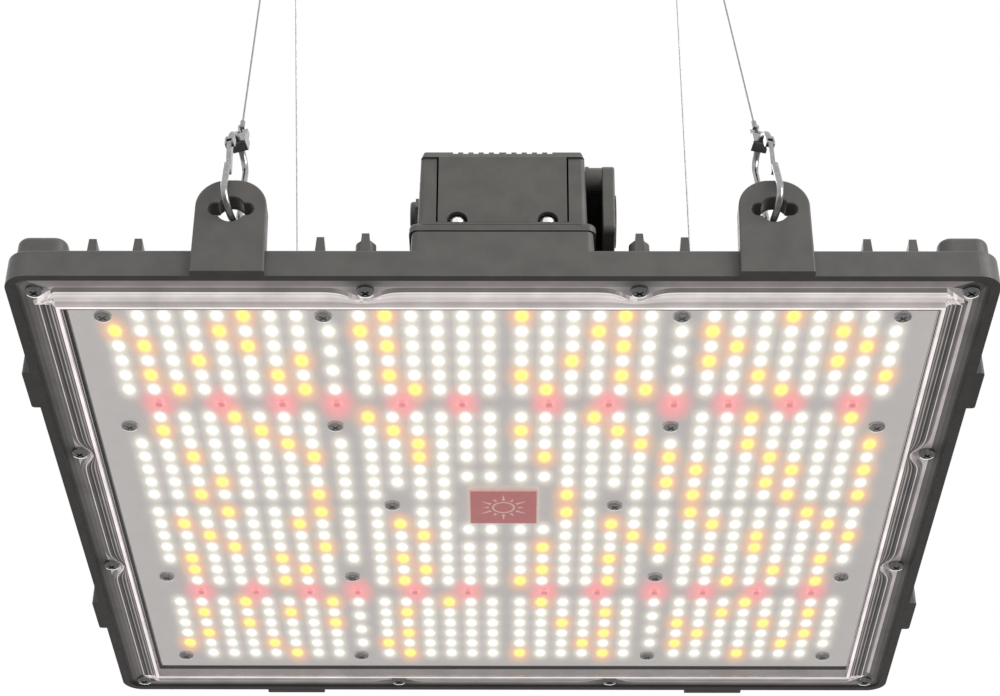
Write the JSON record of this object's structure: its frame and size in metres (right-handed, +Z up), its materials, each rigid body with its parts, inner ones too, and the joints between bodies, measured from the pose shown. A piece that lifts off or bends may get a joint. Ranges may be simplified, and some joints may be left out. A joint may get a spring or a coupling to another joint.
{
  "type": "led grow light",
  "caption": "Square flat panel light with a finned back, a box-shaped driver and two V-shaped wire slings with snap hooks.",
  "frame": {"origin": "centre of the panel's open underside, in the plane of the rim's lower lip", "axes": "+Z up, away from the plants; +X along the front edge, to the right seen from the front; the front edge faces -Y"},
  "size_m": [0.336, 0.3488, 0.4004],
  "materials": {
    "badge_red": "printed gloss",
    "black_plastic": "matte",
    "cable_steel": "bright wire",
    "capacitor": "gloss sleeve",
    "circuit_board": "green solder mask",
    "clear_cover": "clear polycarbonate",
    "gasket_rubber": "matte",
    "gunmetal_paint": "satin powder coat",
    "hook_steel": "polished",
    "led_board": "white solder mask",
    "red_led": "clear gloss",
    "screw_steel": "bright plated",
    "thermal_pad": "matte",
    "transformer": "yellow tape"
  },
  "bodies": {
    "light": {"board_screws": "screw_steel", "board_standoffs": "screw_steel", "bracket_screws": "screw_steel", "centre_badge": "badge_red", "cover_screws": "screw_steel", "dimmer_carrier": "black_plastic", "dimmer_inner_shell": "gunmetal_paint", "dimmer_neck": "gunmetal_paint", "dimmer_outer_shell": "gunmetal_paint", "dimmer_potentiometer": "black_plastic", "driver_capacitors": "capacitor", "driver_choke": "transformer", "driver_circuit_board": "circuit_board", "driver_cover": "gunmetal_paint", "driver_housing": "gunmetal_paint", "driver_transformer": "transformer", "front_left_bracket": "gunmetal_paint", "front_right_bracket": "gunmetal_paint", "gasket": "gasket_rubber", "gland_body": "black_plastic", "gland_cap": "black_plastic", "gland_lock_nut": "black_plastic", "heatsink_housing": "gunmetal_paint", "led_board": "led_board", "lens_cover": "clear_cover", "lid_screws": "screw_steel", "rail_screws": "screw_steel", "rear_left_bracket": "gunmetal_paint", "rear_right_bracket": "gunmetal_paint", "red_leds": "red_led", "thermal_pad": "thermal_pad"},
    "left_sling": {"left_cable_eyes": "cable_steel", "left_ferrules": "cable_steel", "left_front_cable": "cable_steel", "left_front_hook": "hook_steel", "left_link_plate": "hook_steel", "left_rear_cable": "cable_steel", "left_rear_hook": "hook_steel"},
    "right_sling": {"right_cable_eyes": "cable_steel", "right_ferrules": "cable_steel", "right_front_cable": "cable_steel", "right_front_hook": "hook_steel", "right_link_plate": "hook_steel", "right_rear_cable": "cable_steel", "right_rear_hook": "hook_steel"},
    "dimmer_dial": {"dimmer_dial": "black_plastic"},
    "left_front_gate": {"left_front_gate": "hook_steel"},
    "left_rear_gate": {"left_rear_gate": "hook_steel"},
    "right_front_gate": {"right_front_gate": "hook_steel"},
    "right_rear_gate": {"right_rear_gate": "hook_steel"}
  },
  "joints": [
    {"name": "left_sling_swing", "type": "hinge", "parent": "light", "child": "left_sling", "pos_m": [-0.0905, 0, 0.0247], "axis": [0, 1, 0], "range_deg": [-70, 10]},
    {"name": "right_sling_swing", "type": "hinge", "parent": "light", "child": "right_sling", "pos_m": [0.0905, 0, 0.0247], "axis": [0, 1, 0], "range_deg": [-10, 70]},
    {"name": "dimmer_turn", "type": "hinge", "parent": "light", "child": "dimmer_dial", "pos_m": [0.038, -0.1445, 0.0355], "axis": [1, 0, 0], "range_deg": [0, 270]},
    {"name": "left_front_gate_hinge", "type": "hinge", "parent": "left_sling", "child": "left_front_gate", "pos_m": [-0.093, -0.16151, 0.05597], "axis": [0.9639, -0.2355, 0.1245], "range_deg": [0, 32], "stiffness_Nm_per_rad": 0.004, "springref_deg": -20.05},
    {"name": "left_rear_gate_hinge", "type": "hinge", "parent": "left_sling", "child": "left_rear_gate", "pos_m": [-0.093, 0.16151, 0.05597], "axis": [-0.9639, -0.2355, -0.1245], "range_deg": [0, 32], "stiffness_Nm_per_rad": 0.004, "springref_deg": -20.05},
    {"name": "right_front_gate_hinge", "type": "hinge", "parent": "right_sling", "child": "right_front_gate", "pos_m": [0.09094, -0.16152, 0.05607], "axis": [0.97, 0.2355, -0.0609], "range_deg": [0, 32], "stiffness_Nm_per_rad": 0.004, "springref_deg": -20.05},
    {"name": "right_rear_gate_hinge", "type": "hinge", "parent": "right_sling", "child": "right_rear_gate", "pos_m": [0.09094, 0.16152, 0.05607], "axis": [-0.97, 0.2355, 0.0609], "range_deg": [0, 32], "stiffness_Nm_per_rad": 0.004, "springref_deg": -20.05}
  ]
}
